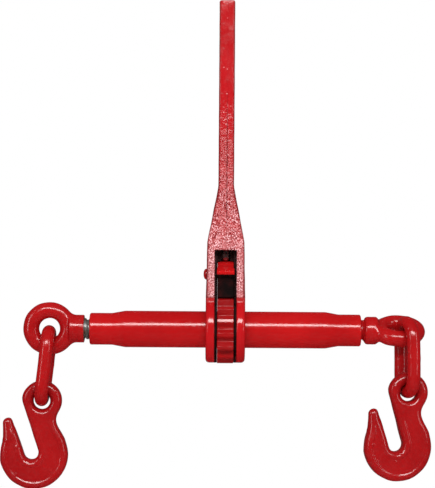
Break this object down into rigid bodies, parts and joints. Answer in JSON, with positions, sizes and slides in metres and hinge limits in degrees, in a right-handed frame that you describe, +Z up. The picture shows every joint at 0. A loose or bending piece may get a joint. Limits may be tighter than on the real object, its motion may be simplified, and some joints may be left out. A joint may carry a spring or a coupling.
{
  "type": "load binder chain",
  "caption": "Ratchet load binder: a lever handle on a threaded barrel, with an eye bolt, a link and a grab hook at each end.",
  "frame": {"origin": "on the barrel's axis, at the middle of the barrel and of the ratchet gear, inside the handle's head", "axes": "+X along the barrel from the left eye bolt to the right one, +Z up the handle, +Y to the back"},
  "size_m": [0.4038, 0.0672, 0.4596],
  "materials": {
    "handle_enamel": "gloss enamel over rough cast steel",
    "red_enamel": "gloss enamel over smooth forged steel",
    "dark_steel": "oiled dark steel"
  },
  "bodies": {
    "handle": {"handle": "handle_enamel", "pawl_pin": "red_enamel", "detent_spring": "dark_steel"},
    "barrel": {"barrel": "red_enamel", "ratchet_gear": "red_enamel"},
    "pawl": {"pawl": "red_enamel"},
    "detent_plunger": {"detent_plunger": "dark_steel"},
    "left_eye_bolt": {"left_eye_bolt": "red_enamel"},
    "right_eye_bolt": {"right_eye_bolt": "red_enamel"},
    "left_link": {"left_link": "red_enamel"},
    "right_link": {"right_link": "red_enamel"},
    "left_grab_hook": {"left_grab_hook": "red_enamel"},
    "right_grab_hook": {"right_grab_hook": "red_enamel"}
  },
  "joints": [
    {"name": "barrel_spin", "type": "hinge", "parent": "handle", "child": "barrel", "pos_m": [0, 0, 0], "axis": [1, 0, 0], "range_deg": [-192, 7200]},
    {"name": "left_bolt_travel", "type": "slide", "parent": "handle", "child": "left_eye_bolt", "axis": [-1, 0, 0], "range_m": [-0.00268, 0.10001]},
    {"name": "right_bolt_travel", "type": "slide", "parent": "handle", "child": "right_eye_bolt", "axis": [1, 0, 0], "range_m": [-0.00268, 0.10001]},
    {"name": "pawl_rock", "type": "hinge", "parent": "handle", "child": "pawl", "pos_m": [0, 0, 0.052], "axis": [1, 0, 0], "range_deg": [-18, 18]},
    {"name": "plunger_lift", "type": "slide", "parent": "handle", "child": "detent_plunger", "axis": [0, 0, 1], "range_m": [0, 0.003], "stiffness_N_per_m": 2000, "springref_m": -0.004, "deforming": ["detent_spring"]},
    {"name": "left_link_swing", "type": "hinge", "parent": "left_eye_bolt", "child": "left_link", "pos_m": [-0.165, 0, 0], "axis": [0, 1, 0], "range_deg": [-30, 150]},
    {"name": "left_hook_swing", "type": "hinge", "parent": "left_link", "child": "left_grab_hook", "pos_m": [-0.17167, 0, -0.06787], "axis": [0, 1, 0], "range_deg": [-60, 90]},
    {"name": "right_link_swing", "type": "hinge", "parent": "right_eye_bolt", "child": "right_link", "pos_m": [0.1668, -0.01504, -0.00752], "axis": [0.9523, 0.2852, 0.1084], "range_deg": [-120, 35]},
    {"name": "right_hook_swing", "type": "hinge", "parent": "right_link", "child": "right_grab_hook", "pos_m": [0.17041, -0.01387, -0.05674], "axis": [-0.1736, 0.9848, 0], "range_deg": [-80, 80]}
  ],
  "couplings": [
    {"joint": "left_bolt_travel", "follows": "barrel_spin", "m_per_rad": 0.00079577},
    {"joint": "right_bolt_travel", "follows": "barrel_spin", "m_per_rad": 0.00079577}
  ]
}
